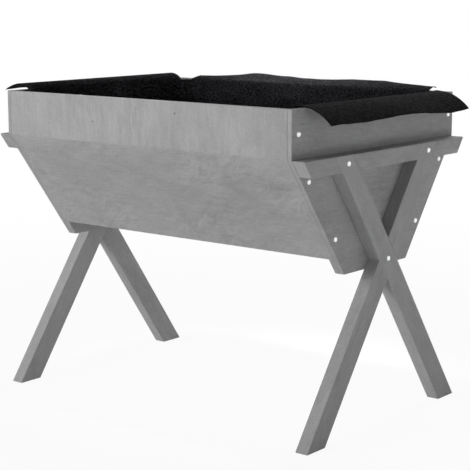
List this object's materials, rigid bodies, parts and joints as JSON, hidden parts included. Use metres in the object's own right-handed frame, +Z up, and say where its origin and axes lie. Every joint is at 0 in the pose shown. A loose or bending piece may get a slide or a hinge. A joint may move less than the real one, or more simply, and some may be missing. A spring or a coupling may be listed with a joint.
{
  "type": "raised garden bed",
  "caption": "Raised garden bed: V-shaped grey wooden trough with an upright rim, carried by crossed legs at its ends and lined with black cloth whose flaps hang over the rim.",
  "frame": {"origin": "on the floor under the middle of the whole object's box, liner flaps included; the wooden bed's own middle lies 25 mm from it towards -Y", "axes": "+X along the trough, towards the end whose flap hangs lower; +Y from the front, which has no flap, to the back; +Z up"},
  "size_m": [1.0682, 0.7501, 0.817],
  "materials": {
    "grey_board": "matt grey stain over fine grain",
    "grey_batten": "matt grey stain, sawn",
    "grey_leg": "matt grey stain, planed, eased edges",
    "plain_dowel": "plain turned beech",
    "bright_screw": "bright round head",
    "zinc_screw": "dull zinc, let in flush",
    "black_cloth": "matt non-woven felt"
  },
  "bodies": {
    "bed_frame": {"rim_front_board": "grey_board", "rim_back_board": "grey_board", "rim_left_board": "grey_board", "rim_right_board": "grey_board", "front_slope_panel": "grey_board", "back_slope_panel": "grey_board", "left_end_panel": "grey_board", "right_end_panel": "grey_board", "bottom_board": "grey_board", "front_left_corner_post": "grey_batten", "back_left_corner_post": "grey_batten", "front_right_corner_post": "grey_batten", "back_right_corner_post": "grey_batten", "front_left_slope_cleat": "grey_batten", "back_left_slope_cleat": "grey_batten", "front_right_slope_cleat": "grey_batten", "back_right_slope_cleat": "grey_batten", "left_bottom_cleat": "grey_batten", "right_bottom_cleat": "grey_batten", "left_cross_rail": "grey_leg", "right_cross_rail": "grey_leg", "left_front_leg": "grey_leg", "left_back_leg": "grey_leg", "right_front_leg": "grey_leg", "right_back_leg": "grey_leg", "rim_corner_screws": "bright_screw", "end_panel_screws": "bright_screw", "leg_top_screws": "bright_screw", "leg_crossing_screws": "bright_screw", "corner_post_screws": "zinc_screw", "slope_cleat_screws": "zinc_screw", "bottom_cleat_screws": "zinc_screw", "bottom_board_screws": "zinc_screw", "rim_dowels": "plain_dowel"},
    "liner": {"liner": "black_cloth"}
  },
  "joints": [
    {"name": "liner_lift", "type": "slide", "parent": "bed_frame", "child": "liner", "axis": [0, 0, 1], "range_m": [0, 0.45]}
  ]
}
